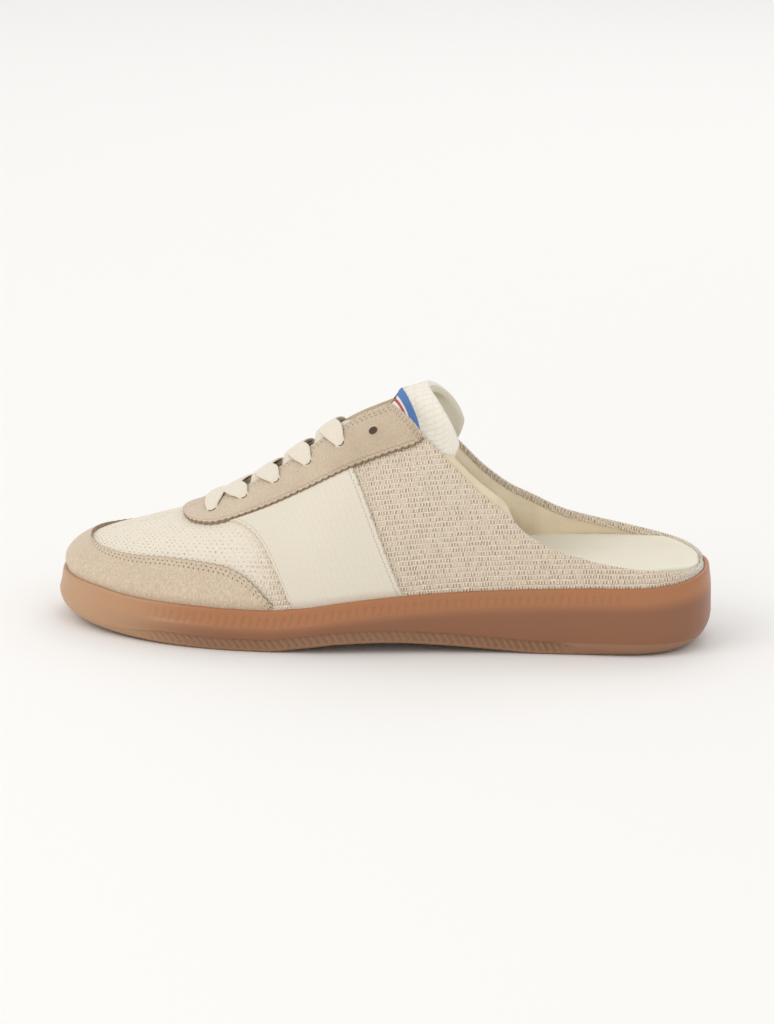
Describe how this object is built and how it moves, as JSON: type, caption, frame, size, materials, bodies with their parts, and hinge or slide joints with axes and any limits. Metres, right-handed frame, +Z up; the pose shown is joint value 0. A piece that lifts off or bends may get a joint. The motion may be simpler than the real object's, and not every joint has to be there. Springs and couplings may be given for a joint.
{
  "type": "sneaker mule",
  "caption": "Backless knit sneaker for the left foot with a gum rubber cupsole, suede toe cap and eyestay, flat laces and a padded tongue that stands up out of the low open heel.",
  "frame": {"origin": "on the ground under the middle of the sole's bounding box", "axes": "+X towards the heel, -X towards the toe, -Y the outer side of the foot, +Z up"},
  "size_m": [0.268, 0.0955, 0.1034],
  "materials": {
    "gum": "smooth moulded gum rubber with a soft sheen",
    "footbed": "smooth cream leather",
    "knit": "matte cream knit with small dark slots",
    "suede": "napped beige suede",
    "cream_leather": "smooth cream leather with faint embossed lines",
    "tongue_leather": "soft cream leather with cross ribs",
    "woven_label": "woven, white with a thin red stripe and a wide blue band",
    "lace": "flat woven cotton"
  },
  "bodies": {
    "root": {"cupsole": "gum", "insole": "footbed", "upper": "knit", "toe_cap": "suede", "eyestay": "suede", "saddle_outer": "cream_leather", "saddle_inner": "cream_leather", "tongue": "tongue_leather", "tongue_label": "woven_label", "lace_crossing_1": "lace", "lace_crossing_2": "lace", "lace_crossing_3": "lace", "lace_crossing_4": "lace"}
  },
  "joints": []
}
